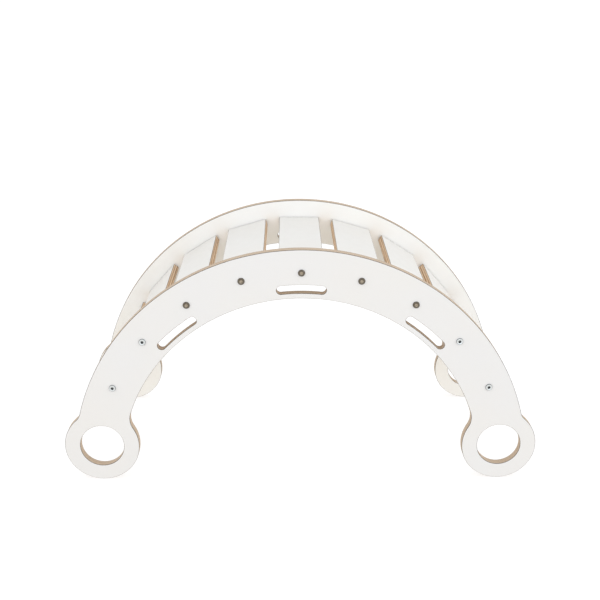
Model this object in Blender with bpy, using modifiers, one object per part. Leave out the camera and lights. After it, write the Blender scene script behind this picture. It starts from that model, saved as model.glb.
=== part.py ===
"""A child's rocking arch: two arched plywood side panels joined by nine slats, each bolted at both ends.

It stands as a climbing arch on its four ring feet. Turned over, it rocks on its panels' round outer edges.
Metres, +Z up. X runs along the arch and Y across it, and the front panel is the one at -Y. The origin is on
the floor, under the middle of the arch.
"""

import math

import bmesh
import bpy
from mathutils import Matrix, Vector

MM = 0.001

# The side panels, seen from the front. Radii are from the arch's centre, and angles from straight up.
WIDTH = 430 * MM  # outer face to outer face of the two panels
PANEL_THICKNESS = 18 * MM
OUTER_RADIUS = 480 * MM
INNER_RADIUS = 378 * MM
RING_PATH_RADIUS = 424 * MM
RING_ANGLE = math.radians(83.5)
RING_RADIUS = 78.5 * MM
RING_HOLE_RADIUS = 46 * MM
OUTER_NECK_RADIUS = 26 * MM
INNER_NECK_RADIUS = 42 * MM

# The hand slots, which follow the arch.
SLOT_ANGLES = [math.radians(angle) for angle in (-40, 0, 40)]
SLOT_PATH_RADIUS = 397.5 * MM
SLOT_HEIGHT = 17.6 * MM
SLOT_HALF_SWEEP = math.radians(7.3)  # to the slot's rounded tip

# The slats, spaced evenly along the arch.
SLAT_COUNT = 9
SLAT_PITCH = math.radians(16.3)
SLAT_PATH_RADIUS = 432 * MM  # to the middle of the slat's thickness, where its bolts are
SLAT_WIDTH = 93 * MM
SLAT_THICKNESS = 15 * MM
GAP = 0.3 * MM  # between pieces that touch

# Each slat end: a bolt into a barrel nut, and two wooden dowels that stop the slat turning.
BOLT_RADIUS = 3 * MM
BOLT_LENGTH = 60 * MM
BOLT_HEAD_RADIUS = 7.2 * MM
BOLT_HEAD_HEIGHT = 2.3 * MM
BOLT_HEAD_FLAT_RADIUS = 5.4 * MM
BOLT_HEAD_RIM = 0.8 * MM
BOLT_SOCKET_RADIUS = 2.3 * MM  # a 4 mm hex key, across its corners
BOLT_SOCKET_DEPTH = 1.8 * MM
BOLT_HOLE_RADIUS = 3.5 * MM
BOLT_BORE_DEPTH = 45 * MM
NUT_RADIUS = 5 * MM
NUT_LENGTH = 11 * MM
NUT_SETBACK = 35 * MM  # from the slat's end to the nut's axis
NUT_HOLE_RADIUS = 5.5 * MM
NUT_SLOT = 1.2 * MM
DOWEL_RADIUS = 4 * MM
DOWEL_OFFSET = 32 * MM
DOWEL_STUB = 11 * MM  # out of the slat's end, into the panel
DOWEL_GLUED = 22 * MM  # inside the slat
DOWEL_HOLE_RADIUS = 4.6 * MM
DOWEL_HOLE_DEPTH = 12 * MM

# How finely round shapes are faceted.
ARC_ERROR = 0.15 * MM  # the most that a facet of the panel's outline leaves its arc
ROUND_STEPS = 12
SMALL_ROUND_STEPS = 10
OVERRUN = 5 * MM  # how far a cutter reaches past what it cuts

# The ring's centre, and the arch's centre above the floor that the rings stand on.
RING_CENTRE = Vector((math.sin(RING_ANGLE), math.cos(RING_ANGLE))) * RING_PATH_RADIUS
ARCH_CENTRE_HEIGHT = RING_RADIUS - RING_CENTRE.y
SLAT_LENGTH = WIDTH - 2 * PANEL_THICKNESS - 2 * GAP
PANEL_MIDDLE = (WIDTH - PANEL_THICKNESS) / 2
SLAT_ANGLES = [SLAT_PITCH * (i - (SLAT_COUNT - 1) / 2) for i in range(SLAT_COUNT)]
PALE_BOLTS = (0, 1, SLAT_COUNT - 2, SLAT_COUNT - 1)  # the two lowest slats at each end have zinc-plated bolts

FACING_FRONT = Matrix.Rotation(math.radians(90), 4, "X")  # local +Z to the front, local +Y up


def clear_scene():
    for obj in list(bpy.data.objects):
        bpy.data.objects.remove(obj)


def new_collection(name, shown=True):
    collection = bpy.data.collections.new(name)
    collection.hide_render = not shown
    bpy.context.scene.collection.children.link(collection)
    return collection


def new_material(name, colour, roughness, metallic=0.0):
    material = bpy.data.materials.new(name)
    material.use_nodes = True
    shader = material.node_tree.nodes["Principled BSDF"]
    shader.inputs["Base Color"].default_value = (*colour, 1.0)
    shader.inputs["Roughness"].default_value = roughness
    shader.inputs["Metallic"].default_value = metallic
    return material


def new_object(name, data, collection, material=None):
    obj = bpy.data.objects.new(name, data)
    collection.objects.link(obj)
    if material:
        data.materials.append(material)
    return obj


def evaluated_mesh(obj, name):
    """The object's mesh with its modifiers applied, and the caps of a curve welded to its sides."""
    bpy.context.view_layer.update()
    graph = bpy.context.evaluated_depsgraph_get()
    mesh = bpy.data.meshes.new_from_object(obj.evaluated_get(graph))
    mesh.name = name
    shape = bmesh.new()
    shape.from_mesh(mesh)
    bmesh.ops.remove_doubles(shape, verts=shape.verts, dist=0.001 * MM)
    shape.to_mesh(mesh)
    shape.free()
    return mesh


def from_shape(shape, name):
    mesh = bpy.data.meshes.new(name)
    shape.to_mesh(mesh)
    shape.free()
    return mesh


def rods(name, places, radius, segments):
    """A mesh of separate cylinders. Each place is the cylinder's middle, its direction and its length."""
    shape = bmesh.new()
    for middle, direction, length in places:
        turn = Vector(direction).to_track_quat("Z", "Y").to_matrix().to_4x4()
        bmesh.ops.create_cone(
            shape,
            cap_ends=True,
            segments=segments,
            radius1=radius,
            radius2=radius,
            depth=length,
            matrix=Matrix.Translation(middle) @ turn,
        )
    return from_shape(shape, name)


def boxes(name, places):
    """A mesh of separate boxes. Each place is the box's middle and its three sides."""
    shape = bmesh.new()
    for middle, sides in places:
        matrix = Matrix.Translation(middle) @ Matrix.Diagonal((*sides, 1.0))
        bmesh.ops.create_cube(shape, size=1.0, matrix=matrix)
    return from_shape(shape, name)


def helper(name, mesh, collection, matrix=None):
    obj = new_object(name, mesh, collection)
    obj.hide_render = True
    obj.display_type = "WIRE"
    obj.matrix_world = matrix or Matrix.Identity(4)
    return obj


def add_boolean(obj, operand, operation):
    modifier = obj.modifiers.new(operand.name, "BOOLEAN")
    modifier.operation = operation
    modifier.object = operand


# The outline of a side panel.


def polar(radius, angle):
    """A point in the panel's plane, its angle measured from straight up."""
    return Vector((math.sin(angle), math.cos(angle))) * radius


def sweep(centre, radius, start, end, clockwise=True):
    """Points along an arc about centre, from the direction of start to the direction of end."""
    first = math.atan2(start.x - centre.x, start.y - centre.y)
    last = math.atan2(end.x - centre.x, end.y - centre.y)
    turn = (last - first) % math.tau
    if not clockwise:
        turn -= math.tau
    facet = 2 * math.acos(1 - ARC_ERROR / radius)
    count = max(2, math.ceil(abs(turn) / facet))
    return [centre + polar(radius, first + turn * i / count) for i in range(count + 1)]


def neck_centre(from_arch, from_ring):
    """The centre of a neck's fillet, at these distances from the arch's centre and from the ring's."""
    cosine = (from_arch**2 + RING_PATH_RADIUS**2 - from_ring**2) / (2 * from_arch * RING_PATH_RADIUS)
    return polar(from_arch, RING_ANGLE - math.acos(cosine))


def panel_outline():
    """The outer edge, the neck and round of one ring, and the inner edge, then the same mirrored."""
    middle = Vector((0, 0))
    outer = neck_centre(OUTER_RADIUS + OUTER_NECK_RADIUS, RING_RADIUS + OUTER_NECK_RADIUS)
    inner = neck_centre(INNER_RADIUS - INNER_NECK_RADIUS, RING_RADIUS + INNER_NECK_RADIUS)
    half = (
        sweep(middle, OUTER_RADIUS, Vector((0, 1)), outer)
        + sweep(outer, OUTER_NECK_RADIUS, middle, RING_CENTRE, clockwise=False)[1:]
        + sweep(RING_CENTRE, RING_RADIUS, outer, inner)[1:]
        + sweep(inner, INNER_NECK_RADIUS, RING_CENTRE, inner * 2, clockwise=False)[1:]
        + sweep(middle, INNER_RADIUS, inner, Vector((0, 1)), clockwise=False)[1:]
    )
    mirrored = [Vector((-point.x, point.y)) for point in reversed(half[1:-1])]
    return half + mirrored


def circle(centre, radius):
    """A full circle's points, the first not repeated."""
    top = centre + Vector((0, radius))
    facet = 2 * math.acos(1 - ARC_ERROR / radius)
    count = math.ceil(math.tau / facet)
    return [centre + Matrix.Rotation(math.tau * i / count, 2) @ (top - centre) for i in range(count)]


def slot_outline(angle):
    """A hand slot: two arcs about the arch's centre, and a round at each end."""
    middle = Vector((0, 0))
    half_height = SLOT_HEIGHT / 2
    half_sweep = SLOT_HALF_SWEEP - half_height / SLOT_PATH_RADIUS
    left, right = (polar(SLOT_PATH_RADIUS, angle + side * half_sweep) for side in (-1, 1))
    return (
        sweep(middle, SLOT_PATH_RADIUS + half_height, left, right)
        + sweep(right, half_height, right * 2, middle)[1:]
        + sweep(middle, SLOT_PATH_RADIUS - half_height, right, left, clockwise=False)[1:]
        + sweep(left, half_height, middle, left * 2)[1:-1]
    )


def panel_curve():
    """The flat outline with its holes, given the panel's thickness."""
    outlines = [panel_outline()]
    ring_centres = [Vector((side * RING_CENTRE.x, RING_CENTRE.y)) for side in (-1, 1)]
    outlines += [circle(centre, RING_HOLE_RADIUS) for centre in ring_centres]
    outlines += [slot_outline(angle) for angle in SLOT_ANGLES]
    outlines += [circle(polar(SLAT_PATH_RADIUS, angle), BOLT_HOLE_RADIUS) for angle in SLAT_ANGLES]
    curve = bpy.data.curves.new("panel_outline", "CURVE")
    curve.dimensions = "2D"
    curve.fill_mode = "BOTH"
    curve.extrude = PANEL_THICKNESS / 2
    for points in outlines:
        spline = curve.splines.new("POLY")
        spline.points.add(len(points) - 1)
        for spot, point in zip(spline.points, points):
            spot.co = (point.x, point.y, 0, 1)
        spline.use_cyclic_u = True
    return curve


def dowel_spots():
    """Where the dowels meet a panel, in the panel's plane."""
    spots = []
    for angle in SLAT_ANGLES:
        along = Vector((math.cos(angle), -math.sin(angle)))
        spots += [polar(SLAT_PATH_RADIUS, angle) + along * side * DOWEL_OFFSET for side in (-1, 1)]
    return spots


def make_panel(name, outward, flat_mesh, parts, cutters, material):
    """A side panel, with blind dowel holes in its inner face. outward is -1 for the front, 1 for the rear."""
    panel = new_object(name, flat_mesh.copy(), parts, material)
    panel.matrix_world = Matrix.Translation((0, outward * PANEL_MIDDLE, ARCH_CENTRE_HEIGHT)) @ FACING_FRONT
    inner_face = outward * (WIDTH / 2 - PANEL_THICKNESS)
    length = DOWEL_HOLE_DEPTH + OVERRUN
    middle = inner_face + outward * (DOWEL_HOLE_DEPTH - length / 2)
    places = [((spot.x, middle, spot.y), (0, 1, 0), length) for spot in dowel_spots()]
    mesh = rods(name + "_dowel_holes", places, DOWEL_HOLE_RADIUS, SMALL_ROUND_STEPS)
    holes = helper(name + "_dowel_holes", mesh, cutters, Matrix.Translation((0, 0, ARCH_CENTRE_HEIGHT)))
    add_boolean(panel, holes, "DIFFERENCE")


# The slats and their fastenings. Each is made once about its own origin, and its mesh is shared.


def slat_mesh(cutters):
    """A board along Y with its bolt bores, nut holes and glued dowels, about the middle of the board."""
    half = SLAT_LENGTH / 2
    sides = (SLAT_WIDTH, SLAT_LENGTH, SLAT_THICKNESS)
    board = helper("slat_board", boxes("slat_board", [((0, 0, 0), sides)]), cutters)

    dowel_places = []
    bore_places = []
    nut_hole_places = []
    dowel_length = DOWEL_STUB + DOWEL_GLUED
    bore_length = BOLT_BORE_DEPTH + OVERRUN
    nut_hole_top = NUT_LENGTH / 2 + GAP
    nut_hole_length = nut_hole_top + SLAT_THICKNESS / 2 + OVERRUN
    for end in (-1, 1):
        dowel_middle = end * (half + DOWEL_STUB - dowel_length / 2)
        for side in (-1, 1):
            dowel_places.append(((side * DOWEL_OFFSET, dowel_middle, 0), (0, 1, 0), dowel_length))
        bore_places.append(((0, end * (half + OVERRUN - bore_length / 2), 0), (0, 1, 0), bore_length))
        nut_hole_middle = (0, end * (half - NUT_SETBACK), nut_hole_top - nut_hole_length / 2)
        nut_hole_places.append((nut_hole_middle, (0, 0, 1), nut_hole_length))

    dowels = rods("slat_dowels", dowel_places, DOWEL_RADIUS, SMALL_ROUND_STEPS)
    add_boolean(board, helper("slat_dowels", dowels, cutters), "UNION")
    bores = rods("slat_bores", bore_places, BOLT_HOLE_RADIUS, ROUND_STEPS)
    add_boolean(board, helper("slat_bores", bores, cutters), "DIFFERENCE")
    nut_holes = rods("slat_nut_holes", nut_hole_places, NUT_HOLE_RADIUS, ROUND_STEPS)
    add_boolean(board, helper("slat_nut_holes", nut_holes, cutters), "DIFFERENCE")
    return evaluated_mesh(board, "slat")


def bolt_mesh(cutters):
    """A flat-headed connector bolt, its head towards +Z and the underside of its head at the origin."""
    profile = [
        (0, BOLT_HEAD_HEIGHT),
        (BOLT_HEAD_FLAT_RADIUS, BOLT_HEAD_HEIGHT),
        (BOLT_HEAD_RADIUS, BOLT_HEAD_RIM),
        (BOLT_HEAD_RADIUS, 0),
        (BOLT_RADIUS, 0),
        (BOLT_RADIUS, -BOLT_LENGTH),
        (0, -BOLT_LENGTH),
    ]
    mesh = bpy.data.meshes.new("bolt_profile")
    edges = [(i, i + 1) for i in range(len(profile) - 1)]
    mesh.from_pydata([(x, 0, z) for x, z in profile], edges, [])
    bolt = helper("bolt_body", mesh, cutters)
    turned = bolt.modifiers.new("turned", "SCREW")
    turned.steps = ROUND_STEPS
    turned.render_steps = ROUND_STEPS
    turned.use_merge_vertices = True
    turned.merge_threshold = 0.01 * MM

    depth = BOLT_SOCKET_DEPTH + OVERRUN
    place = ((0, 0, BOLT_HEAD_HEIGHT - BOLT_SOCKET_DEPTH + depth / 2), (0, 0, 1), depth)
    socket = helper("bolt_socket", rods("bolt_socket", [place], BOLT_SOCKET_RADIUS, 6), cutters)
    add_boolean(bolt, socket, "DIFFERENCE")
    return evaluated_mesh(bolt, "bolt")


def nut_mesh(cutters):
    """A barrel nut, upright about its own middle: the bolt's hole along Y, and a screwdriver slot below."""
    barrel = rods("nut_barrel", [((0, 0, 0), (0, 0, 1), NUT_LENGTH)], NUT_RADIUS, ROUND_STEPS)
    nut = helper("nut_barrel", barrel, cutters)
    length = 2 * (NUT_RADIUS + OVERRUN)
    hole_mesh = rods("nut_thread", [((0, 0, 0), (0, 1, 0), length)], BOLT_HOLE_RADIUS, SMALL_ROUND_STEPS)
    add_boolean(nut, helper("nut_thread", hole_mesh, cutters), "DIFFERENCE")
    slot_place = ((0, 0, -NUT_LENGTH / 2), (NUT_SLOT, length, NUT_SLOT))
    add_boolean(nut, helper("nut_slot", boxes("nut_slot", [slot_place]), cutters), "DIFFERENCE")
    return evaluated_mesh(nut, "nut")


def place_fastener(name, mesh, local, holder, parts, material):
    obj = new_object(name, mesh, parts)
    obj.parent = holder
    obj.matrix_local = local
    obj.material_slots[0].link = "OBJECT"
    obj.material_slots[0].material = material


def make_slat(index, meshes, parts, arch, materials):
    """Slat number index + 1 from the left, with the bolt and nut at each of its ends."""
    angle = SLAT_ANGLES[index]
    number = index + 1
    slat = new_object(f"step_slat_{number}", meshes["slat"], parts)
    slat.parent = arch
    slat.matrix_local = Matrix.Rotation(angle, 4, "Y") @ Matrix.Translation((0, 0, SLAT_PATH_RADIUS))
    bolt_finish = materials["pale_bolt" if index in PALE_BOLTS else "dark_bolt"]
    for side_name, outward in (("front", -1), ("rear", 1)):
        facing = Matrix.Rotation(outward * math.radians(-90), 4, "X")
        bolt_place = Matrix.Translation((0, outward * (WIDTH / 2 + GAP), 0)) @ facing
        place_fastener(f"{side_name}_bolt_{number}", meshes["bolt"], bolt_place, slat, parts, bolt_finish)
        nut_place = Matrix.Translation((0, outward * (SLAT_LENGTH / 2 - NUT_SETBACK), 0))
        name = f"{side_name}_barrel_nut_{number}"
        place_fastener(name, meshes["nut"], nut_place, slat, parts, materials["nut"])


def shade_round(mesh):
    mesh.shade_smooth()
    mesh.set_sharp_from_angle(angle=math.radians(35))


def main():
    clear_scene()
    parts = new_collection("rocking_arch")
    cutters = new_collection("cutters", shown=False)
    materials = {
        "panel": new_material("panel_laminated_plywood", (0.86, 0.86, 0.83), 0.45),
        "slat": new_material("slat_laminated_plywood", (0.84, 0.84, 0.82), 0.45),
        "dark_bolt": new_material("bronzed_steel", (0.24, 0.21, 0.17), 0.35, 1.0),
        "pale_bolt": new_material("zinc_plated_steel", (0.66, 0.68, 0.70), 0.3, 1.0),
        "nut": new_material("nut_zinc_plated_steel", (0.60, 0.61, 0.62), 0.35, 1.0),
    }

    arch = bpy.data.objects.new("arch_centre", None)
    parts.objects.link(arch)
    arch.location = (0, 0, ARCH_CENTRE_HEIGHT)
    bpy.context.view_layer.update()

    outline = helper("panel_outline", panel_curve(), cutters)
    flat_mesh = evaluated_mesh(outline, "side_panel")
    bpy.data.objects.remove(outline)
    make_panel("front_side_panel", -1, flat_mesh, parts, cutters, materials["panel"])
    make_panel("rear_side_panel", 1, flat_mesh, parts, cutters, materials["panel"])

    meshes = {"slat": slat_mesh(cutters), "bolt": bolt_mesh(cutters), "nut": nut_mesh(cutters)}
    for key, finish in (("slat", "slat"), ("bolt", "dark_bolt"), ("nut", "nut")):
        meshes[key].materials.clear()
        meshes[key].materials.append(materials[finish])
        shade_round(meshes[key])
    for index in range(SLAT_COUNT):
        make_slat(index, meshes, parts, arch, materials)


main()
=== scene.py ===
import math

import bmesh
import bpy
from mathutils import Matrix, Vector
from mathutils.geometry import tessellate_polygon


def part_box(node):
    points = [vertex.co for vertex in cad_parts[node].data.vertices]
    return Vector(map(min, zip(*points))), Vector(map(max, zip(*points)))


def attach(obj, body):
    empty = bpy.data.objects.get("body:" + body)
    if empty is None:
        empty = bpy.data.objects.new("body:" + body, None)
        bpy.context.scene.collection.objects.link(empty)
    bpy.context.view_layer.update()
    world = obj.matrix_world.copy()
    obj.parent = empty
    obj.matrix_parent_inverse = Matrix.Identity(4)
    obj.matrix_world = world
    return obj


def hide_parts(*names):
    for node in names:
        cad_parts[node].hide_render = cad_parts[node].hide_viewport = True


# The looks of a child's rocking arch: laminated plywood boards with rounded, raw edges, and the fastenings
# that join them. Metres, +Z up, in the CAD model's frame.

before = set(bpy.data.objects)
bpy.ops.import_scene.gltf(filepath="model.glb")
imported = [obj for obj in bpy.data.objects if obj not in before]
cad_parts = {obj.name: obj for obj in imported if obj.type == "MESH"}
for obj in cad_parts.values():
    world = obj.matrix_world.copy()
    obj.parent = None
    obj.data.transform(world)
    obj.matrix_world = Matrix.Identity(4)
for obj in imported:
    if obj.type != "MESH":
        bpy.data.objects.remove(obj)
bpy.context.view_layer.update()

MM = 0.001

# The side panels, as in the CAD model. Radii are from the arch's centre, and angles from straight up.
OUTER_RADIUS = 480 * MM
INNER_RADIUS = 378 * MM
RING_PATH_RADIUS = 424 * MM
RING_ANGLE = math.radians(83.5)
RING_RADIUS = 78.5 * MM
RING_HOLE_RADIUS = 46 * MM
OUTER_NECK_RADIUS = 26 * MM
INNER_NECK_RADIUS = 42 * MM
SLOT_ANGLES = [math.radians(angle) for angle in (-40, 0, 40)]
SLOT_PATH_RADIUS = 397.5 * MM
SLOT_HEIGHT = 17.6 * MM
SLOT_HALF_SWEEP = math.radians(7.3)

# The slats.
SLAT_COUNT = 9
SLAT_PITCH = math.radians(16.3)
SLAT_PATH_RADIUS = 432 * MM
SLAT_WIDTH = 93 * MM
SLAT_THICKNESS = 15 * MM
SLAT_CORNER = 2.5 * MM  # seen from above
SLAT_JOINT = 0.8 * MM  # the shadow line between a slat's end and the panel
GAP = 0.3 * MM

# The boards: a plywood core with a laminate on both faces. Their edges are rounded through the laminate.
LAMINATE = 0.8 * MM
PANEL_PLIES = 9
SLAT_PLIES = 5

# The bolts, and their holes through a panel and into a slat's end.
BOLT_RADIUS = 3 * MM
BOLT_LENGTH = 60 * MM
BOLT_NECK = 0.3 * MM  # the fillet between shaft and head
BOLT_HEAD_RADIUS = 7.2 * MM
BOLT_HEAD_HEIGHT = 2.55 * MM
BOLT_HEAD_ROUNDING = 1.1 * MM
BOLT_HEAD_SIDE = 0.7 * MM  # the height at which the rounding ends
BOLT_HEAD_LIP = 0.3 * MM  # flat, just inside the rounding
BOLT_HEAD_CHAMFER = 0.12 * MM
BOLT_HEAD_SEAT = 0.05 * MM  # between the head and the panel
BOLT_HOLE_RADIUS = 3.5 * MM
BOLT_BORE_DEPTH = 45 * MM
SOCKET_SIDES = 6
SOCKET_RADIUS = 2.35 * MM  # to the corners
SOCKET_DEPTH = 1.9 * MM
SOCKET_SINK_DEPTH = 0.6 * MM
SOCKET_SINK_RADII = (SOCKET_RADIUS - 0.3 * MM, SOCKET_RADIUS + 1.8 * MM)  # so far below and above the top
THREAD_PITCH = 1.0 * MM
THREAD_DEPTH = 0.55 * MM
THREAD_LENGTH = 30 * MM
TURNING_PITCH = 0.3 * MM  # of the fine rings that turning leaves

# The barrel nuts, in blind holes drilled from below.
NUT_RADIUS = 5 * MM
NUT_LENGTH = 11 * MM
NUT_EASE = 0.5 * MM
NUT_SLOT_WIDTH = 1.4 * MM
NUT_SLOT_DEPTH = 1.2 * MM
NUT_SETBACK = 35 * MM
NUT_HOLE_RADIUS = 5.5 * MM
NUT_HOLE_SINK = 0.6 * MM

# The dowels, a stub of each in a panel and the rest glued into a slat's end.
DOWEL_RADIUS = 4 * MM
DOWEL_OFFSET = 32 * MM
DOWEL_STUB = 11 * MM
DOWEL_GLUED = 22 * MM
DOWEL_EASE = 0.8 * MM
DOWEL_FLUTES = 20
DOWEL_FLUTE_DEPTH = 0.07  # as a share of the radius
DOWEL_HOLE_RADIUS = 4.15 * MM
DOWEL_HOLE_DEPTH = 12 * MM
DOWEL_BORE_DEPTH = DOWEL_GLUED + 0.5 * MM

# How finely the shapes are made.
ARC_ERROR = 0.01 * MM  # the most that a facet of an outline leaves its arc
ROUNDING_STEPS = 4
HOLE_SEGMENTS = 32
TURNED_SEGMENTS = 48
OVERSHOOT = 4 * MM  # how far a cutter stands out of what it cuts

# Places that follow from the frame.
PANEL_LOW, PANEL_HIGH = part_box("front_side_panel")
PANEL_THICKNESS = PANEL_HIGH.y - PANEL_LOW.y
OUTER_FACE = -PANEL_LOW.y  # from the middle of the arch to a panel's outer face
INNER_FACE = -PANEL_HIGH.y
ARCH_CENTRE_HEIGHT = PANEL_HIGH.z - OUTER_RADIUS
SLAT_LENGTH = 2 * (INNER_FACE - SLAT_JOINT)
RING_CENTRE = Vector((math.sin(RING_ANGLE), math.cos(RING_ANGLE))) * RING_PATH_RADIUS
SLAT_ANGLES = [SLAT_PITCH * (i - (SLAT_COUNT - 1) / 2) for i in range(SLAT_COUNT)]
PALE_BOLTS = (0, 1, SLAT_COUNT - 2, SLAT_COUNT - 1)


# Outlines in the panel's plane, as lists of points.


def polar(radius, angle):
    """A point in the panel's plane, its angle measured from straight up."""
    return Vector((math.sin(angle), math.cos(angle))) * radius


def sweep(centre, radius, start, end, clockwise=True):
    """Points along an arc about centre, from the direction of start to the direction of end."""
    first = math.atan2(start.x - centre.x, start.y - centre.y)
    last = math.atan2(end.x - centre.x, end.y - centre.y)
    turn = (last - first) % math.tau
    if not clockwise:
        turn -= math.tau
    facet = 2 * math.acos(1 - ARC_ERROR / radius)
    count = max(2, math.ceil(abs(turn) / facet))
    return [centre + polar(radius, first + turn * i / count) for i in range(count + 1)]


def neck_centre(from_arch, from_ring):
    """The centre of a neck's fillet, at these distances from the arch's centre and from the ring's."""
    cosine = (from_arch**2 + RING_PATH_RADIUS**2 - from_ring**2) / (2 * from_arch * RING_PATH_RADIUS)
    return polar(from_arch, RING_ANGLE - math.acos(cosine))


def panel_outline():
    """The outer edge, the neck and round of one ring, and the inner edge, then the same mirrored.

    It starts and ends at the foot of a ring, which is where the grain on the board's edge starts and ends.
    """
    middle = Vector((0, 0))
    outer = neck_centre(OUTER_RADIUS + OUTER_NECK_RADIUS, RING_RADIUS + OUTER_NECK_RADIUS)
    inner = neck_centre(INNER_RADIUS - INNER_NECK_RADIUS, RING_RADIUS + INNER_NECK_RADIUS)
    half = (
        sweep(middle, OUTER_RADIUS, Vector((0, 1)), outer)
        + sweep(outer, OUTER_NECK_RADIUS, middle, RING_CENTRE, clockwise=False)[1:]
        + sweep(RING_CENTRE, RING_RADIUS, outer, inner)[1:]
        + sweep(inner, INNER_NECK_RADIUS, RING_CENTRE, inner * 2, clockwise=False)[1:]
        + sweep(middle, INNER_RADIUS, inner, Vector((0, 1)), clockwise=False)[1:]
    )
    mirrored = [Vector((-point.x, point.y)) for point in reversed(half[1:-1])]
    points = half + mirrored
    foot = points.index(min(points, key=lambda point: point.y))
    return points[foot:] + points[:foot]


def circle(centre, radius, count=None):
    """A full circle's points, the first not repeated."""
    if count is None:
        facet = 2 * math.acos(1 - ARC_ERROR / radius)
        count = math.ceil(math.tau / facet)
    return [centre + polar(radius, math.tau * i / count) for i in range(count)]


def slot_outline(angle):
    """A hand slot: two arcs about the arch's centre, and a round at each end."""
    middle = Vector((0, 0))
    half_height = SLOT_HEIGHT / 2
    half_sweep = SLOT_HALF_SWEEP - half_height / SLOT_PATH_RADIUS
    left, right = (polar(SLOT_PATH_RADIUS, angle + side * half_sweep) for side in (-1, 1))
    return (
        sweep(middle, SLOT_PATH_RADIUS + half_height, left, right)
        + sweep(right, half_height, right * 2, middle)[1:]
        + sweep(middle, SLOT_PATH_RADIUS - half_height, right, left, clockwise=False)[1:]
        + sweep(left, half_height, middle, left * 2)[1:-1]
    )


def rounded_rectangle(width, height, corner):
    """About the origin, with rounded corners."""
    points = []
    for quarter, (side, up) in enumerate(((1, 1), (1, -1), (-1, -1), (-1, 1))):
        centre = Vector((side * (width / 2 - corner), up * (height / 2 - corner)))
        start = math.radians(90) * quarter
        end = start + math.radians(90)
        points += sweep(centre, corner, centre + polar(1, start), centre + polar(1, end))
    return points


def signed_area(points):
    return sum(a.x * b.y - b.x * a.y for a, b in zip(points, points[1:] + points[:1])) / 2


def inward_normals(points):
    """At each point of a closed outline, the unit vector to its left."""
    normals = []
    for before, after in zip(points[-1:] + points[:-1], points[1:] + points[:1]):
        along = (after - before).normalized()
        normals.append(Vector((-along.y, along.x)))
    return normals


# Meshes.


def new_piece(name, mesh, matrix=None):
    obj = bpy.data.objects.new(name, mesh)
    bpy.context.scene.collection.objects.link(obj)
    obj.matrix_world = matrix or Matrix.Identity(4)
    return obj


def smooth(mesh, sharp_degrees=40):
    mesh.shade_smooth()
    mesh.set_sharp_from_angle(angle=math.radians(sharp_degrees))


def even_normals(obj):
    """Keeps large flat faces flat where a rounded edge runs into them."""
    modifier = obj.modifiers.new("even_normals", "WEIGHTED_NORMAL")
    modifier.keep_sharp = True
    modifier.weight = 100


def final_mesh(obj, name):
    """The object's mesh with its modifiers applied."""
    bpy.context.view_layer.update()
    graph = bpy.context.evaluated_depsgraph_get()
    mesh = bpy.data.meshes.new_from_object(obj.evaluated_get(graph))
    mesh.name = name
    return mesh


def finished(shape, name):
    mesh = bpy.data.meshes.new(name)
    shape.to_mesh(mesh)
    shape.free()
    return mesh


# A board's material slots: the laminate, its cut and rounded rim (darkened partly with painted shade), and
# the raw plywood of the board's edge.
# The fourth is the laminate of a panel's inward face, painted lighter than the outer face as painted light,
# or the darker end grain of a slat, painted near-black as painted shade in its joint with the panel.
FACE, RIM, EDGE, INNER = range(4)
END = INNER


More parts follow.
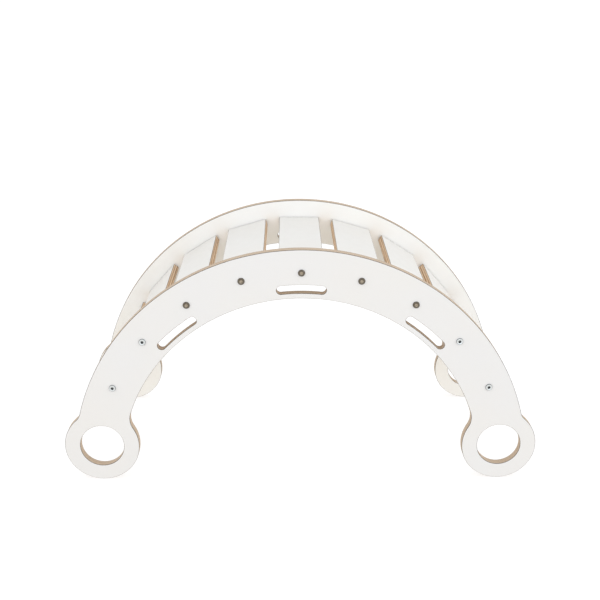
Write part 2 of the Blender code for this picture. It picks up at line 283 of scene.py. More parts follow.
class Board:
    """A board with rounded edges, in the plane of X and Z and with its thickness along Y, about Y = 0.

    Its UV map "grain" holds, in metres, the way along the edge and the height through the plies.
    """

    def __init__(self, outline, thickness):
        self.shape = bmesh.new()
        self.grain = self.shape.loops.layers.uv.new("grain")
        self.half = thickness / 2
        self.caps = {-1: [], 1: []}
        self.add_edge(outline, LAMINATE, outside=True)

    def face(self, corners, uvs, slot):
        made = self.shape.faces.new(corners)
        made.material_index = slot
        for loop, uv in zip(made.loops, uvs):
            loop[self.grain].uv = uv

    def profile(self, rounding):
        """From the face at +Y to the face at -Y: how far in from the outline, and the height."""
        quarter = []
        for step in range(ROUNDING_STEPS + 1):
            angle = math.radians(90) * step / ROUNDING_STEPS
            inset = rounding * (1 - math.sin(angle))
            quarter.append((inset, self.half - rounding * (1 - math.cos(angle))))
        return quarter + [(inset, -height) for inset, height in reversed(quarter)]

    def add_edge(self, points, rounding, outside=False):
        """The rounded edge round the outline or a hole. The wood is to the left of the way round."""
        if (signed_area(points) > 0) != outside:
            points = points[::-1]
        normals = inward_normals(points)
        rows = []
        for inset, height in self.profile(rounding):
            row = []
            for point, normal in zip(points, normals):
                place = point + normal * inset
                row.append(self.shape.verts.new((place.x, height, place.y)))
            rows.append((height, row))
        along = [0.0]
        for a, b in zip(points, points[1:] + points[:1]):
            along.append(along[-1] + (b - a).length)
        count = len(points)
        for band, ((high, upper), (low, lower)) in enumerate(zip(rows, rows[1:])):
            slot = EDGE if band == ROUNDING_STEPS else RIM
            for i in range(count):
                j = (i + 1) % count
                corners = (upper[i], lower[i], lower[j], upper[j])
                uvs = ((along[i], high), (along[i], low), (along[i + 1], low), (along[i + 1], high))
                self.face(corners, uvs, slot)
        self.caps[1].append(rows[0][1])
        self.caps[-1].append(rows[-1][1])

    def add_blind_hole(self, centre, radius, depth, side):
        """A round hole with a flat bottom, drilled into the face at side * Y."""
        points = circle(centre, radius, HOLE_SEGMENTS)
        mouth = [self.shape.verts.new((p.x, side * self.half, p.y)) for p in points]
        bottom = [self.shape.verts.new((p.x, side * (self.half - depth), p.y)) for p in points]
        for i, (a, b) in enumerate(zip(mouth, mouth[1:] + mouth[:1])):
            c, d = bottom[(i + 1) % len(points)], bottom[i]
            corners = (a, b, c, d) if side > 0 else (d, c, b, a)
            self.face(corners, [(v.co.x, v.co.y) for v in corners], EDGE)
        floor = bottom if side > 0 else bottom[::-1]
        self.face(floor, [(v.co.x, v.co.z) for v in floor], EDGE)
        self.caps[side].append(mouth)

    def mesh(self, name, inward=None):
        """Closes both faces and returns the mesh. The face at inward * Y is the inner one."""
        for side, loops in self.caps.items():
            slot = INNER if side == inward else FACE
            corners = [vert for loop in loops for vert in loop]
            flat = [[Vector((vert.co.x, vert.co.z, 0)) for vert in loop] for loop in loops]
            for a, b, c in tessellate_polygon(flat):
                trio = (corners[a], corners[b], corners[c])
                self.face(trio, [(vert.co.x, vert.co.z) for vert in trio], slot)
        bmesh.ops.recalc_face_normals(self.shape, faces=self.shape.faces)
        return finished(self.shape, name)


def lathe(name, profile, segments, flute=0.0):
    """A body turned about Z from a profile of (radius, height), from its top to its bottom, with flat ends.

    A flute takes its share off the radius at every second point round the body.
    """
    shape = bmesh.new()
    rings = []
    for radius, height in profile:
        ring = []
        for i in range(segments):
            reach = radius * (1 - flute * (i % 2))
            angle = math.tau * i / segments
            ring.append(shape.verts.new((reach * math.cos(angle), reach * math.sin(angle), height)))
        rings.append(ring)
    for upper, lower in zip(rings, rings[1:]):
        for i in range(segments):
            j = (i + 1) % segments
            shape.faces.new((upper[i], lower[i], lower[j], upper[j]))
    shape.faces.new(rings[0])
    shape.faces.new(rings[-1][::-1])
    bmesh.ops.recalc_face_normals(shape, faces=shape.faces)
    return finished(shape, name)


def eased_rod(radius, half_length, ease):
    """The profile of a rod about its own middle, its ends chamfered."""
    return [
        (radius - ease, half_length),
        (radius, half_length - ease),
        (radius, ease - half_length),
        (radius - ease, -half_length),
    ]


def rods(name, places, segments):
    """Separate cylinders or cones, each given by its middle, direction, length and two end radii."""
    shape = bmesh.new()
    for middle, direction, length, start_radius, end_radius in places:
        turn = Vector(direction).to_track_quat("Z", "Y").to_matrix().to_4x4()
        bmesh.ops.create_cone(
            shape,
            cap_ends=True,
            segments=segments,
            radius1=start_radius,
            radius2=end_radius,
            depth=length,
            matrix=Matrix.Translation(middle) @ turn,
        )
    return finished(shape, name)


def cut(obj, *cutters):
    """Cuts the cutters' meshes out of obj and returns the finished mesh. Both are used up."""
    tools = []
    for mesh in cutters:
        tool = new_piece(mesh.name, mesh)
        modifier = obj.modifiers.new(mesh.name, "BOOLEAN")
        modifier.object = tool
        modifier.material_mode = "TRANSFER"
        tools.append(tool)
    mesh = final_mesh(obj, obj.name)
    for tool in tools + [obj]:
        bpy.data.objects.remove(tool)
    return mesh


# Materials.


class Nodes:
    """Short ways to write a material's nodes."""

    def __init__(self, name):
        self.material = bpy.data.materials.new(name)
        self.material.use_nodes = True
        self.tree = self.material.node_tree
        self.shader = self.tree.nodes["Principled BSDF"]

    def put(self, socket, value):
        """Links the socket to another, or gives it a constant."""
        if isinstance(value, bpy.types.NodeSocket):
            self.tree.links.new(value, socket)
        else:
            socket.default_value = value

    def node(self, kind, **settings):
        made = self.tree.nodes.new(kind)
        for key, value in settings.items():
            setattr(made, key, value)
        return made

    def maths(self, operation, *numbers):
        made = self.node("ShaderNodeMath", operation=operation)
        for socket, number in zip(made.inputs, numbers):
            self.put(socket, number)
        return made.outputs[0]

    def scaled(self, value, factor):
        return self.maths("MULTIPLY", value, factor)

    def position(self):
        """The place on the piece, in metres."""
        return self.node("ShaderNodeTexCoord").outputs["Object"]

    def normal(self):
        """The way that the surface faces, in the piece's own frame."""
        return self.node("ShaderNodeTexCoord").outputs["Normal"]

    def split(self, vector):
        made = self.node("ShaderNodeSeparateXYZ")
        self.put(made.inputs[0], vector)
        return made.outputs

    def join(self, x, y, z):
        made = self.node("ShaderNodeCombineXYZ")
        for socket, value in zip(made.inputs, (x, y, z)):
            self.put(socket, value)
        return made.outputs[0]

    def noise(self, vector, scale=1.0, detail=2.0, roughness=0.5):
        """Noise between 0 and 1, with about scale lumps to each unit of the vector."""
        made = self.node("ShaderNodeTexNoise")
        self.put(made.inputs["Vector"], vector)
        made.inputs["Scale"].default_value = scale
        made.inputs["Detail"].default_value = detail
        made.inputs["Roughness"].default_value = roughness
        return made.outputs["Fac"]

    def spread(self, value, low, high, to_low=0.0, to_high=1.0):
        """Maps low..high smoothly onto to_low..to_high."""
        made = self.node("ShaderNodeMapRange", interpolation_type="SMOOTHSTEP")
        numbers = (value, low, high, to_low, to_high)
        for socket, number in zip(made.inputs, numbers):
            self.put(socket, number)
        return made.outputs[0]

    def blend(self, share, a, b):
        """Colour a where share is 0 or less, and colour b where it is 1 or more."""
        made = self.node("ShaderNodeMix", data_type="RGBA")
        self.put(made.inputs["Factor"], share)
        self.put(made.inputs["A"], a)
        self.put(made.inputs["B"], b)
        return made.outputs["Result"]

    def bump(self, height, strength, distance):
        """Relief on the surface. The distance is in metres, for a height of 1."""
        made = self.node("ShaderNodeBump")
        made.inputs["Strength"].default_value = strength
        made.inputs["Distance"].default_value = distance
        self.put(made.inputs["Height"], height)
        self.put(self.shader.inputs["Normal"], made.outputs[0])

    def surface(self, colour, roughness, metallic=0.0):
        self.put(self.shader.inputs["Base Color"], colour)
        self.put(self.shader.inputs["Roughness"], roughness)
        self.shader.inputs["Metallic"].default_value = metallic
        return self.material


def rgb(red, green, blue):
    """A colour written as it looks on screen, from 0 to 255, as linear values."""
    linear = []
    for part in (red, green, blue):
        part /= 255
        linear.append(part / 12.92 if part <= 0.04045 else ((part + 0.055) / 1.055) ** 2.4)
    return (*linear, 1.0)


def laminate_material(name, colour, warm_colour):
    """A satin white laminate: a little cloudy and flecked, with a fine orange peel."""
    nodes = Nodes(name)
    place = nodes.position()
    cloud = nodes.noise(place, scale=6.0, detail=3.0)
    fleck = nodes.noise(place, scale=900.0)
    peel = nodes.noise(place, scale=420.0, detail=3.0)
    smear = nodes.noise(place, scale=60.0, detail=4.0)
    tone = nodes.blend(nodes.spread(cloud, 0.3, 0.7), colour, warm_colour)
    tone = nodes.blend(nodes.spread(fleck, 0.62, 0.78, 0.0, 0.25), tone, FLECK)
    nodes.bump(peel, strength=0.12, distance=0.06 * MM)
    return nodes.surface(tone, nodes.spread(smear, 0.3, 0.7, 0.36, 0.48))


def cut_rim_with_painted_light_and_shade_material(name, dark, pale):
    """The laminate's cut and sanded edge, where its core shows. Its dark tone is partly the core's own
    colour and partly painted shade that draws the board's outline; where it faces down it is paler, as
    painted light.
    """
    nodes = Nodes(name)
    place = nodes.position()
    up = nodes.split(nodes.normal())["Z"]
    cloud = nodes.noise(place, scale=24.0, detail=4.0)
    # Painted light: the rim is paler where it faces down.
    facing = nodes.spread(up, -0.45, 0.1, 0.0, 0.85)
    patches = nodes.spread(cloud, 0.35, 0.7, 0.0, 0.3)
    tone = nodes.blend(nodes.maths("ADD", facing, patches), pale, dark)
    nodes.bump(nodes.noise(place, scale=700.0, detail=3.0), strength=0.2, distance=0.08 * MM)
    return nodes.surface(tone, nodes.spread(cloud, 0.3, 0.7, 0.42, 0.56))


def plywood_material(name, thickness, plies, light, dark, glue):
    """A cut edge of plywood: plies with their grain along the edge and across it by turns, and glue lines.

    Every board has plies of its own tones.
    """
    nodes = Nodes(name)
    core = thickness - 2 * LAMINATE
    along, height, _ = nodes.split(nodes.node("ShaderNodeUVMap", uv_map="grain").outputs[0])
    ply = nodes.maths("MULTIPLY_ADD", height, plies / core, plies / 2)
    number = nodes.maths("FLOOR", ply)
    within = nodes.maths("FRACT", ply)
    across = nodes.maths("PINGPONG", number, 1.0)

    board = nodes.scaled(nodes.node("ShaderNodeObjectInfo").outputs["Random"], 100.0)
    lottery = nodes.node("ShaderNodeTexWhiteNoise", noise_dimensions="2D")
    nodes.put(lottery.inputs["Vector"], nodes.join(number, board, 0.0))
    own = lottery.outputs["Value"]

    streak_place = nodes.join(nodes.scaled(along, 35.0), nodes.scaled(height, 2600.0), own)
    streaks = nodes.noise(streak_place, detail=4.0, roughness=0.6)
    pore_place = nodes.join(nodes.scaled(along, 2200.0), nodes.scaled(height, 2200.0), own)
    pores = nodes.noise(pore_place, detail=3.0, roughness=0.7)
    stain_place = nodes.join(along, nodes.scaled(number, 0.37), board)
    stains = nodes.noise(stain_place, scale=9.0, detail=3.0)

    grain = nodes.blend(across, streaks, nodes.maths("SUBTRACT", 1.0, pores))
    darkness = nodes.maths("MULTIPLY_ADD", across, 0.5, nodes.scaled(own, 0.4))
    darkness = nodes.maths("ADD", darkness, nodes.spread(grain, 0.3, 0.75, -0.15, 0.3))
    darkness = nodes.maths("ADD", darkness, nodes.spread(stains, 0.4, 0.8, -0.1, 0.3))
    tone = nodes.blend(darkness, light, dark)

    from_middle = nodes.maths("ABSOLUTE", nodes.maths("SUBTRACT", within, 0.5))
    tone = nodes.blend(nodes.spread(from_middle, 0.44, 0.5, 0.0, 0.8), tone, glue)
    from_centre = nodes.maths("ABSOLUTE", height)
    under_laminate = nodes.spread(from_centre, core / 2 - 0.3 * MM, core / 2 - 0.2 * MM)
    tone = nodes.blend(under_laminate, tone, glue)

    relief = nodes.maths("MULTIPLY_ADD", across, 0.4, nodes.scaled(pores, 0.6))
    nodes.bump(relief, strength=0.35, distance=0.15 * MM)
    return nodes.surface(tone, nodes.spread(pores, 0.3, 0.7, 0.55, 0.72))


def beech_material():
    """The dowels' beech, with its grain along Z."""
    nodes = Nodes("beech")
    x, y, z = nodes.split(nodes.position())
    grain_place = nodes.join(nodes.scaled(x, 1500.0), nodes.scaled(y, 1500.0), nodes.scaled(z, 90.0))
    grain = nodes.noise(grain_place, detail=4.0)
    tone = nodes.blend(nodes.spread(grain, 0.3, 0.7), *BEECH)
    nodes.bump(grain, strength=0.3, distance=0.1 * MM)
    return nodes.surface(tone, nodes.spread(grain, 0.3, 0.7, 0.55, 0.7))


def metal_material(name, colour, cloudy_colour, least_roughness, painted_reflection_colour=None):
    """Plated steel with a cloudy finish and the fine rings that turning leaves. Z is the turning axis.

    A bolt head's rounded rim may be darkened with its own colour, a painted reflection of darker
    surroundings.
    """
    nodes = Nodes(name)
    place = nodes.position()
    x, y, _ = nodes.split(place)
    radius_squared = nodes.maths("ADD", nodes.maths("MULTIPLY", x, x), nodes.maths("MULTIPLY", y, y))
    radius = nodes.maths("SQRT", radius_squared)
    ring_wave = nodes.maths("SINE", nodes.scaled(radius, math.tau / TURNING_PITCH))
    cloud = nodes.noise(place, scale=420.0, detail=3.0)
    tone = nodes.blend(nodes.spread(cloud, 0.25, 0.75), colour, cloudy_colour)
    # The rim's darker colour is a painted reflection.
    if painted_reflection_colour:
        rim_start = BOLT_HEAD_RADIUS - BOLT_HEAD_ROUNDING
        on_rim = nodes.spread(radius, rim_start, rim_start + BOLT_HEAD_ROUNDING / 2)
        tone = nodes.blend(on_rim, tone, painted_reflection_colour)
    nodes.bump(nodes.maths("MULTIPLY_ADD", ring_wave, 0.5, cloud), strength=0.25, distance=0.02 * MM)
    roughness = nodes.spread(cloud, 0.3, 0.7, least_roughness, least_roughness + 0.14)
    return nodes.surface(tone, roughness, metallic=1.0)


# The pieces.


def keep(piece, nodes):
    """The piece rides on the one body and stands for these nodes of the CAD model."""
    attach(piece, "root")
    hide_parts(*nodes)


def dowel_spots():
    spots = []
    for angle in SLAT_ANGLES:
        along = Vector((math.cos(angle), -math.sin(angle)))
        spots += [polar(SLAT_PATH_RADIUS, angle) + along * side * DOWEL_OFFSET for side in (-1, 1)]
    return spots


def panel_mesh(name, inward, materials):
    """A side panel, its inner face at inward * Y."""
    ring_centres = [Vector((side * RING_CENTRE.x, RING_CENTRE.y)) for side in (-1, 1)]
    holes = [circle(centre, RING_HOLE_RADIUS) for centre in ring_centres]
    holes += [slot_outline(angle) for angle in SLOT_ANGLES]
    board = Board(panel_outline(), PANEL_THICKNESS)
    for hole in holes:
        board.add_edge(hole, LAMINATE)
    for angle in SLAT_ANGLES:
        board.add_edge(circle(polar(SLAT_PATH_RADIUS, angle), BOLT_HOLE_RADIUS, HOLE_SEGMENTS), GAP)
    for spot in dowel_spots():
        board.add_blind_hole(spot, DOWEL_HOLE_RADIUS, DOWEL_HOLE_DEPTH, inward)
    mesh = board.mesh(name, inward)
    for look in ("panel_face", "panel_rim", "panel_edge", "panel_inner_face"):
        mesh.materials.append(materials[look])
    smooth(mesh)
    return mesh


def make_panels(materials):
    middle = (OUTER_FACE + INNER_FACE) / 2
    for side, outward in (("front", -1), ("rear", 1)):
        mesh = panel_mesh(f"{side}_panel", -outward, materials)
        place = Matrix.Translation((0, outward * middle, ARCH_CENTRE_HEIGHT))
        panel = new_piece(f"{side}_panel_board", mesh, place)
        even_normals(panel)
        keep(panel, [f"{side}_side_panel"])


def slat_cutters():
    """The holes in a slat: into its ends for the bolts and the dowels, and up from below for the nuts."""
    half = SLAT_LENGTH / 2
    underside = -SLAT_THICKNESS / 2
    up = (0, 0, 1)
    bores, dowel_holes, nut_holes, sinks = [], [], [], []
    for end in (-1, 1):
        along = (0, end, 0)
        middle = (0, end * (half + (OVERSHOOT - BOLT_BORE_DEPTH) / 2), 0)
        bores.append((middle, along, BOLT_BORE_DEPTH + OVERSHOOT, BOLT_HOLE_RADIUS, BOLT_HOLE_RADIUS))
        for side in (-1, 1):
            middle = (side * DOWEL_OFFSET, end * (half + (OVERSHOOT - DOWEL_BORE_DEPTH) / 2), 0)
            length = DOWEL_BORE_DEPTH + OVERSHOOT
            dowel_holes.append((middle, along, length, DOWEL_HOLE_RADIUS, DOWEL_HOLE_RADIUS))
        spot = end * (half - NUT_SETBACK)
        top = NUT_LENGTH / 2 + GAP
        bottom = underside - OVERSHOOT
        middle = (0, spot, (top + bottom) / 2)
        nut_holes.append((middle, up, top - bottom, NUT_HOLE_RADIUS, NUT_HOLE_RADIUS))
        middle = (0, spot, underside)
        sinks.append((middle, up, 2 * NUT_HOLE_SINK, NUT_HOLE_RADIUS + 2 * NUT_HOLE_SINK, NUT_HOLE_RADIUS))
    return (
        rods("bores", bores, HOLE_SEGMENTS),
        rods("dowel_holes", dowel_holes, HOLE_SEGMENTS),
        rods("nut_holes", nut_holes, TURNED_SEGMENTS),
        rods("nut_hole_sinks", sinks, TURNED_SEGMENTS),
    )


def slat_mesh(materials):
    """A slat about the middle of the board, its length along Y and its upper face at +Z."""
    outline = rounded_rectangle(SLAT_WIDTH, SLAT_LENGTH, SLAT_CORNER)
    blank = Board(outline, SLAT_THICKNESS).mesh("slat_board")
    blank.transform(Matrix.Rotation(math.radians(90), 4, "X"))
    board = new_piece("slat_board", blank)
    for look in ("slat_face", "slat_rim", "slat_edge", "slat_end"):
        board.data.materials.append(materials[look])

    mesh = cut(board, *slat_cutters())
    mesh.name = "slat"
    lay_grain(mesh)
    smooth(mesh)
    return mesh


def lay_grain(mesh):
    """Sorts a slat's faces into laminate, rim, raw edge and end, and writes its grain map."""
    flat_within = 0.001 * MM
    part_of_end = 0.25  # the least share of its normal that lies along the slat, for a face at an end
    square_to_slat = 0.7  # the least share, for the grain to run along the end
    grain = mesh.uv_layers["grain"]
    for face in mesh.polygons:
        depth = SLAT_THICKNESS / 2 - abs(face.center.z)
        if depth < flat_within:
            face.material_index = FACE
        # Faces at a slat's ends take the end material, whose near-black tone is partly painted shade of the
        # joint.
        elif abs(face.normal.y) > part_of_end:
            face.material_index = END
        else:
            face.material_index = RIM if depth < LAMINATE else EDGE
        across_end = abs(face.normal.y) > square_to_slat
        for corner in face.loop_indices:
            place = mesh.vertices[mesh.loops[corner].vertex_index].co
            grain.data[corner].uv = (place.x if across_end else place.y, place.z)


def bolt_profile():
    """From the top of the head, just inside its rounding, down to the tip of the thread."""
    head_flat = BOLT_HEAD_RADIUS - BOLT_HEAD_ROUNDING
    profile = [(head_flat - BOLT_HEAD_LIP, BOLT_HEAD_HEIGHT)]
    for step in range(ROUNDING_STEPS + 1):
        angle = math.radians(90) * step / ROUNDING_STEPS
        drop = (BOLT_HEAD_HEIGHT - BOLT_HEAD_SIDE) * (1 - math.cos(angle))
        profile.append((head_flat + BOLT_HEAD_ROUNDING * math.sin(angle), BOLT_HEAD_HEIGHT - drop))
    profile += [(BOLT_HEAD_RADIUS, BOLT_HEAD_CHAMFER), (BOLT_HEAD_RADIUS - BOLT_HEAD_CHAMFER, 0)]
    profile += [(BOLT_RADIUS + BOLT_NECK, 0), (BOLT_RADIUS, -BOLT_NECK)]
    thread_top = THREAD_LENGTH - BOLT_LENGTH
    profile.append((BOLT_RADIUS, thread_top + THREAD_PITCH))
    for turn in range(round(THREAD_LENGTH / THREAD_PITCH)):
        height = thread_top - turn * THREAD_PITCH
        profile.append((BOLT_RADIUS - THREAD_DEPTH, height))
        profile.append((BOLT_RADIUS, height - THREAD_PITCH / 2))
    profile.append((BOLT_RADIUS - THREAD_DEPTH, -BOLT_LENGTH))
    return profile


def bolt_mesh(materials):
    """A flat-headed bolt, its head towards +Z and the underside of its head at Z = 0."""
    body = new_piece("bolt_body", lathe("bolt_body", bolt_profile(), TURNED_SEGMENTS))
    body.data.materials.append(materials["bolt_face"])
    up = (0, 0, 1)
    depth = SOCKET_DEPTH + OVERSHOOT
    middle = (0, 0, BOLT_HEAD_HEIGHT + OVERSHOOT - depth / 2)
    socket = rods("socket", [(middle, up, depth, SOCKET_RADIUS, SOCKET_RADIUS)], SOCKET_SIDES)
    middle = (0, 0, BOLT_HEAD_HEIGHT)
    sink = rods("sink", [(middle, up, 2 * SOCKET_SINK_DEPTH, *SOCKET_SINK_RADII)], TURNED_SEGMENTS)
    for tool in (socket, sink):
        tool.materials.append(materials["bolt_socket"])
    mesh = cut(body, socket, sink)
    mesh.name = "bolt"
    smooth(mesh, sharp_degrees=35)
    return mesh


def nut_mesh(materials):
    """A barrel nut about its own middle, its axis along Z, the bolt's hole along Y and a slot below."""
    half = NUT_LENGTH / 2
    body = new_piece("nut_body", lathe("nut_body", eased_rod(NUT_RADIUS, half, NUT_EASE), TURNED_SEGMENTS))
    body.data.materials.append(materials["nut"])
    length = 2 * (NUT_RADIUS + OVERSHOOT)
    hole = ((0, 0, 0), (0, 1, 0), length, BOLT_HOLE_RADIUS, BOLT_HOLE_RADIUS)
    thread = rods("thread", [hole], HOLE_SEGMENTS)
    slot = bmesh.new()
    size = Matrix.Diagonal((NUT_SLOT_WIDTH, length, 2 * NUT_SLOT_DEPTH, 1.0))
    bmesh.ops.create_cube(slot, size=1.0, matrix=Matrix.Translation((0, 0, -half)) @ size)
    mesh = cut(body, thread, finished(slot, "slot"))
    mesh.name = "nut"
    smooth(mesh, sharp_degrees=35)
    return mesh


def dowel_mesh(materials):
    """A fluted dowel along Z, about its own middle."""
    profile = eased_rod(DOWEL_RADIUS, (DOWEL_STUB + DOWEL_GLUED) / 2, DOWEL_EASE)
    mesh = lathe("dowel", profile, 2 * DOWEL_FLUTES, flute=DOWEL_FLUTE_DEPTH)
    mesh.materials.append(materials["beech"])
    smooth(mesh, sharp_degrees=50)
    return mesh


def with_materials(mesh, *materials):
    """A copy of the mesh with other materials in its slots."""
    copy = mesh.copy()
    for index, material in enumerate(materials):
        copy.materials[index] = material
    return copy


def make_slats(materials):
    half = SLAT_LENGTH / 2
    slat = slat_mesh(materials)
    dark_bolt = bolt_mesh(materials)
    pale_bolt = with_materials(dark_bolt, materials["pale_bolt_face"], materials["pale_bolt_socket"])
    nut = nut_mesh(materials)
    dowel = dowel_mesh(materials)
    for index, angle in enumerate(SLAT_ANGLES):
        number = index + 1
        centre = Matrix.Translation((0, 0, ARCH_CENTRE_HEIGHT))
        place = centre @ Matrix.Rotation(angle, 4, "Y") @ Matrix.Translation((0, 0, SLAT_PATH_RADIUS))
        piece = new_piece(f"slat_{number}", slat, place)
        even_normals(piece)
        keep(piece, [f"step_slat_{number}"])
        pale = index in PALE_BOLTS
        for side_name, outward in (("front", -1), ("rear", 1)):
            facing = Matrix.Rotation(outward * math.radians(-90), 4, "X")
            head = Matrix.Translation((0, outward * (OUTER_FACE + BOLT_HEAD_SEAT), 0)) @ facing
            bolt = new_piece(f"{side_name}_screw_{number}", pale_bolt if pale else dark_bolt, place @ head)
            keep(bolt, [f"{side_name}_bolt_{number}"])
            seat = Matrix.Translation((0, outward * (half - NUT_SETBACK), 0))
            barrel = new_piece(f"{side_name}_cross_dowel_{number}", nut, place @ seat)
            keep(barrel, [f"{side_name}_barrel_nut_{number}"])
            for side, end_name in ((-1, "left"), (1, "right")):
                middle = outward * (half + (DOWEL_STUB - DOWEL_GLUED) / 2)
                pin_place = Matrix.Translation((side * DOWEL_OFFSET, middle, 0)) @ facing
                pin = new_piece(f"{side_name}_{end_name}_dowel_{number}", dowel, place @ pin_place)
                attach(pin, "root")


# The laminate, its warmer patches, and its flecks. The panels' inward laminate is painted lighter than the
# outer, as painted light.
PANEL_WHITE = (rgb(227, 226, 226), rgb(228, 226, 224))
PANEL_INNER_PAINTED_LIGHT_WHITE = (rgb(242, 241, 239), rgb(243, 241, 237))
SLAT_WHITE = (rgb(227, 226, 223), rgb(228, 226, 222))
FLECK = rgb(222, 221, 216)

# The laminate's cut edge: dark, partly its core's colour and partly painted shade that draws the outline,
# and pale where it faces down, as painted light.
PANEL_RIM_WITH_PAINTED_LIGHT_AND_SHADE = (rgb(64, 56, 47), rgb(196, 190, 181))
SLAT_RIM_WITH_PAINTED_LIGHT_AND_SHADE = (rgb(116, 106, 94), rgb(150, 142, 131))

# The raw plywood's light plies, dark plies and glue lines. The slats' end grain is near-black, partly its
# own darker tone and partly painted shade in the joint with the panel.
PANEL_WOOD = (rgb(216, 196, 173), rgb(166, 144, 120), rgb(132, 112, 92))
SLAT_WOOD = (rgb(242, 216, 184), rgb(160, 124, 90), rgb(130, 100, 72))
SLAT_END_WOOD_PAINTED_SHADE = (rgb(68, 52, 40), rgb(50, 38, 28), rgb(40, 30, 22))

# The dowels' light and dark grain.
BEECH = (rgb(222, 180, 132), rgb(188, 140, 94))

# Plated steel: its colour, its cloudy patches and its least roughness.
BRONZED = (rgb(110, 101, 88), rgb(98, 90, 79), 0.32)
# Its socket is lighter than the head: a painted highlight.
BRONZED_SOCKET_PAINTED_HIGHLIGHT = (rgb(172, 158, 139), rgb(150, 136, 117), 0.28)
ZINC = (rgb(218, 219, 216), rgb(202, 204, 202), 0.3)
# Its socket is darker than the head: painted shade in the recess.
ZINC_SOCKET_PAINTED_SHADE = (rgb(88, 89, 89), rgb(68, 70, 70), 0.4)
ZINC_NUT = (rgb(196, 200, 204), rgb(168, 174, 180), 0.3)

# The rounded rims of the bolts' heads, darker than the heads as a painted reflection of darker
# surroundings.
BRONZED_RIM_PAINTED_REFLECTION = rgb(104, 96, 85)
ZINC_RIM_PAINTED_REFLECTION = rgb(144, 146, 145)


def make_materials():
    return {
        "panel_face": laminate_material("panel_laminate_face", *PANEL_WHITE),
        "panel_inner_face": laminate_material("panel_laminate_inner", *PANEL_INNER_PAINTED_LIGHT_WHITE),
        "slat_face": laminate_material("slat_laminate_face", *SLAT_WHITE),
        "panel_rim": cut_rim_with_painted_light_and_shade_material("panel_cut_rim", *PANEL_RIM_WITH_PAINTED_LIGHT_AND_SHADE),
        "slat_rim": cut_rim_with_painted_light_and_shade_material("slat_cut_rim", *SLAT_RIM_WITH_PAINTED_LIGHT_AND_SHADE),
        "panel_edge": plywood_material("panel_raw_edge", PANEL_THICKNESS, PANEL_PLIES, *PANEL_WOOD),
        "slat_edge": plywood_material("slat_raw_edge", SLAT_THICKNESS, SLAT_PLIES, *SLAT_WOOD),
        "slat_end": plywood_material("slat_end_grain", SLAT_THICKNESS, SLAT_PLIES, *SLAT_END_WOOD_PAINTED_SHADE),
        "beech": beech_material(),
        "bolt_face": metal_material("bronzed_steel_face", *BRONZED, BRONZED_RIM_PAINTED_REFLECTION),
        "bolt_socket": metal_material("bronzed_steel_socket", *BRONZED_SOCKET_PAINTED_HIGHLIGHT),
        "pale_bolt_face": metal_material("zinc_steel_face", *ZINC, ZINC_RIM_PAINTED_REFLECTION),
        "pale_bolt_socket": metal_material("zinc_steel_socket", *ZINC_SOCKET_PAINTED_SHADE),
        "nut": metal_material("zinc_steel_nut", *ZINC_NUT),
    }


# The stage.

CAMERA_PLACE = Vector((-0.0307, -2.161, 1.0879))
CAMERA_YAW = math.radians(0.82)  # to the right of straight ahead
CAMERA_PITCH = math.radians(19.33)  # below the horizon
CAMERA_ROLL = math.radians(0.17)
CAMERA_LENS = 61.25  # in millimetres, as is the sensor
CAMERA_SENSOR = 36.0
FLOOR_SIZE = 60.0
FLOOR_COLOUR = (0.26, 0.26, 0.26, 1.0)
FLOOR_GLOW = 0.78  # lights the floor evenly, so that it is white from every side
LIGHT_SIZE = 2.4
LIGHT_TARGET = Vector((0.0, 0.0, 0.25))
NEUTRAL = (1.0, 1.0, 1.0)
COOL = (0.66, 0.82, 1.0)
PALE_COOL = (0.72, 0.86, 1.0)
SKY_COLOUR = (1.0, 1.0, 1.0, 1.0)
BOUNCE_COLOUR = (0.8, 0.72, 0.6, 1.0)  # the dimmer, warmer light that comes from below
SKY_START = 0.0  # how far up a direction points, where the light is all sky
BOUNCE_START = -0.3  # and where it is all bounce


def make_floor():
    shape = bmesh.new()
    bmesh.ops.create_grid(shape, x_segments=1, y_segments=1, size=FLOOR_SIZE / 2)
    floor = new_piece("floor", finished(shape, "floor"))
    nodes = Nodes("white_floor")
    nodes.shader.inputs["Emission Color"].default_value = (1.0, 1.0, 1.0, 1.0)
    nodes.shader.inputs["Emission Strength"].default_value = FLOOR_GLOW
    floor.data.materials.append(nodes.surface(FLOOR_COLOUR, roughness=0.9))
    floor.visible_diffuse = False


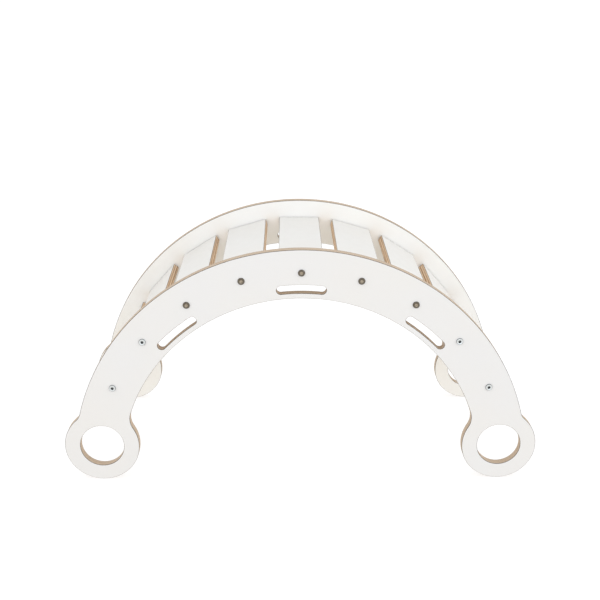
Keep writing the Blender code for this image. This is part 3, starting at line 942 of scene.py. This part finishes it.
def add_disk_light(name, place, power, colour):
    """A round softbox that the camera doesn't see. The power is in watts."""
    light = bpy.data.lights.new(name, "AREA")
    light.shape = "DISK"
    light.size = LIGHT_SIZE
    light.energy = power
    light.color = colour
    obj = bpy.data.objects.new(name, light)
    bpy.context.scene.collection.objects.link(obj)
    obj.location = place
    obj.rotation_euler = (LIGHT_TARGET - Vector(place)).to_track_quat("-Z", "Y").to_euler()
    obj.visible_camera = False
    return obj


def make_world():
    """White above the horizon, and the light that a studio floor throws back below it."""
    world = bpy.data.worlds.new("white_studio")
    world.use_nodes = True
    tree = world.node_tree
    direction = tree.nodes.new("ShaderNodeTexCoord").outputs["Generated"]
    split = tree.nodes.new("ShaderNodeSeparateXYZ")
    share = tree.nodes.new("ShaderNodeMapRange")
    share.interpolation_type = "SMOOTHSTEP"
    share.inputs["From Min"].default_value = BOUNCE_START
    share.inputs["From Max"].default_value = SKY_START
    mix = tree.nodes.new("ShaderNodeMix")
    mix.data_type = "RGBA"
    mix.inputs["A"].default_value = BOUNCE_COLOUR
    mix.inputs["B"].default_value = SKY_COLOUR
    tree.links.new(direction, split.inputs[0])
    tree.links.new(split.outputs["Z"], share.inputs["Value"])
    tree.links.new(share.outputs[0], mix.inputs["Factor"])
    tree.links.new(mix.outputs["Result"], tree.nodes["Background"].inputs["Color"])
    bpy.context.scene.world = world


def light_stage():
    make_world()
    add_disk_light("key", (-3.2, -1.6, 1.5), 14, NEUTRAL)
    add_disk_light("fill", (3.3, -1.2, 1.4), 22, NEUTRAL)
    add_disk_light("front", (0.3, -4.0, 0.9), 30, COOL)
    rear = add_disk_light("rear", (-0.3, 4.0, 1.0), 34, PALE_COOL)
    rear.visible_glossy = False  # it would shine off the slats' tops
    bpy.context.scene.view_settings.view_transform = "Standard"


def place_camera():
    camera = bpy.data.cameras.new("camera")
    camera.lens = CAMERA_LENS
    camera.sensor_width = CAMERA_SENSOR
    obj = bpy.data.objects.new("camera", camera)
    bpy.context.scene.collection.objects.link(obj)
    yaw = Matrix.Rotation(-CAMERA_YAW, 4, "Z")
    pitch = Matrix.Rotation(math.radians(90) - CAMERA_PITCH, 4, "X")
    roll = Matrix.Rotation(CAMERA_ROLL, 4, "Z")
    obj.matrix_world = Matrix.Translation(CAMERA_PLACE) @ yaw @ pitch @ roll
    bpy.context.scene.camera = obj


place_camera()
looks = make_materials()
make_panels(looks)
make_slats(looks)
make_floor()
light_stage()
